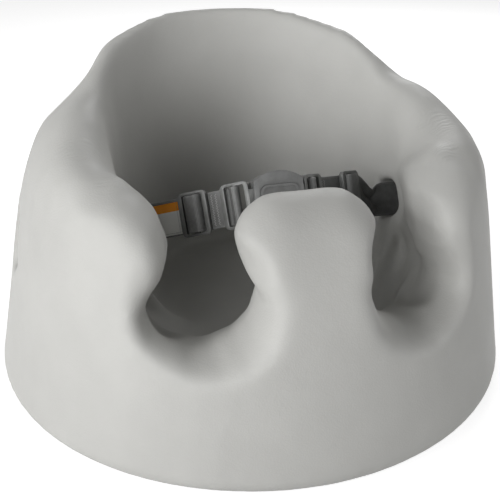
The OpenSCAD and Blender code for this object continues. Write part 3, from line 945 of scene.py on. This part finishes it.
def make_steel():
    material, shader = new_finish("spring_steel", 0.3, 0.5)
    shader.inputs["Metallic"].default_value = 1.0
    stretched = {"Vector": object_place(material), "Scale": DRAWN_SCALE}
    drawn = add_node(material, "ShaderNodeMapping", stretched).outputs["Vector"]
    streaks = noise_of(material, drawn, STREAK_SCALE, 2.0)
    drive(material, shader, "Base Color", shade_between(material, streaks, STEEL_DARK, STEEL_LIGHT))
    bump(material, shader, noise_of(material, drawn, SCRATCH_SCALE, 2.0), DRAWN_DEPTH, 0.5)
    return material


belt_plastic = make_plastic("belt_plastic", BELT_GREY, 0.34)
buckle_plastic = make_plastic("buckle_plastic", BUCKLE_GREY, 0.42)
plate_plastic = make_plastic("anchor_plastic", PLATE_BLACK, 0.50)
steel = make_steel()
print("finishes:", [made.name for made in (belt_plastic, buckle_plastic, plate_plastic, steel)])

# %% [markdown]
# ## Rounded edges
# No moulded or stamped edge is razor sharp, and it is the small round of an edge that catches the light.
# The solids are already exact, so each is copied, its flat faces are joined, and its edges are bevelled by
# a few tenths of a millimetre. A Bevel modifier would do as well; the operator does it once, for good, on
# edges that are picked by their angle.

# %% Round the edges of the hard parts
FLAT = math.radians(0.6)
EDGE_ANGLE = math.radians(32)
CREASE_ANGLE = math.radians(50)


def edged_copy(node, name, radius):
    """A copy of a solid with its flat faces joined and its edges rounded."""
    bm = merged_copy(node)
    bmesh.ops.dissolve_limit(bm, angle_limit=FLAT, verts=bm.verts, edges=bm.edges)
    corners = [e for e in bm.edges if len(e.link_faces) == 2 and e.calc_face_angle(0) > EDGE_ANGLE]
    bmesh.ops.bevel(
        bm, geom=corners, offset=radius, offset_type="OFFSET", affect="EDGES", segments=2,
        profile=0.5, material=-1, clamp_overlap=True)
    piece = piece_from(bm, name)
    piece.data.set_sharp_from_angle(angle=CREASE_ANGLE)
    return piece


# Solid, piece, radius of its edges in millimetres, material, finish slot and body.
HARD_PARTS = [
    ("left_slider", "left_slider_frame", 0.55, belt_plastic, "belt_plastic", "left_adjuster"),
    ("right_slider", "right_slider_frame", 0.55, belt_plastic, "belt_plastic", "right_adjuster"),
    ("left_tongue", "left_tongue_frame", 0.50, belt_plastic, "belt_plastic", "left_catch"),
    ("right_tongue", "right_tongue_frame", 0.50, belt_plastic, "belt_plastic", "right_catch"),
    ("buckle_front_cover", "buckle_front", 0.45, buckle_plastic, "buckle_plastic", "seat"),
    ("buckle_back_cover", "buckle_back", 0.45, buckle_plastic, "buckle_plastic", "seat"),
    ("release_button", "push_button", 0.30, buckle_plastic, "buckle_plastic", "button"),
    ("left_anchor_plate", "left_anchor", 0.40, plate_plastic, "hidden_plastic", "seat"),
    ("right_anchor_plate", "right_anchor", 0.40, plate_plastic, "hidden_plastic", "seat"),
    ("latch_leaf", "latch_spring", 0.12, steel, "spring_steel", "seat"),
    ("buckle_screws", "cover_screws", 0.10, steel, "spring_steel", "seat"),
]
for node, name, radius, material, slot, body in HARD_PARTS:
    settle(edged_copy(node, name, radius * MM), material, [node], body)

# %% [markdown]
# ## The sewn patch
# A small woven patch is sewn on the left half next to its slider. It has an orange band along its top and
# is white below, with a seam just inside its hem. A flat card would stand off where the webbing bends, so
# the patch is swept like the webbing, a hair's breadth in front of it. Its own UV map places the band and
# the seam.

# %% Patch finish
PATCH_LENGTH = 22 * MM
PATCH_WIDTH = STRAP_WIDTH - 3 * MM
PATCH_THICK = 0.6 * MM
PATCH_START = SLIDER_AT["left"] + SLIDER_HALF + 1.8 * MM
PATCH_MIDDLE = -0.5 * MM
PATCH_WEAVE = 0.5 * MM
PATCH_DEPTH = 0.12 * MM
PATCH_WHITE = (0.93, 0.93, 0.90, 1)
PATCH_ORANGE = (1.0, 0.36, 0.030, 1)
BAND_WIDTH = 6.0 * MM
HEM = 1.3 * MM
SEAM_HALF = 0.22 * MM
SEAM_COLOUR = (0.12, 0.12, 0.12, 1)
SEAM_SHARE = 0.4


def distance_from(material, place, line):
    return maths(material, "ABSOLUTE", maths(material, "SUBTRACT", place, line))


def make_patch_finish():
    material, shader = new_finish("sewn_patch", 0.7, 0.3)
    across, along = strip_place(material)
    in_band = maths(material, "GREATER_THAN", across, PATCH_MIDDLE + PATCH_WIDTH / 2 - BAND_WIDTH)
    colours = mix_colours(material, in_band, PATCH_WHITE, PATCH_ORANGE)
    end_hem = distance_from(material, along, HEM)
    low_hem = distance_from(material, across, PATCH_MIDDLE - PATCH_WIDTH / 2 + HEM)
    seam = maths(material, "LESS_THAN", maths(material, "MINIMUM", end_hem, low_hem), SEAM_HALF)
    seam = maths(material, "MULTIPLY", seam, SEAM_SHARE)
    drive(material, shader, "Base Color", mix_colours(material, seam, colours, SEAM_COLOUR))
    weft = wave_of(material, across, PATCH_WEAVE)
    warp = wave_of(material, along, PATCH_WEAVE)
    bump(material, shader, maths(material, "MULTIPLY", weft, warp), PATCH_DEPTH, 0.7)
    return material


# %% Patch
PATCH_CLEAR = 0.02 * MM


def make_patch():
    front = LOAD_LAYER - STRAP_THICK / 2 - PATCH_THICK / 2 - PATCH_CLEAR
    corners = [(on_strap(PATCH_START, front), 0), (on_strap(PATCH_START + PATCH_LENGTH, front), 0)]
    patch, _ = sweep_strip("left_patch", "left", corners, PATCH_WIDTH, PATCH_THICK, PATCH_MIDDLE)
    settle(patch, make_patch_finish(), ["left_strap_patch"])
    wall_end, slider_end = bend_between("left")
    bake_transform(patch)


make_patch()
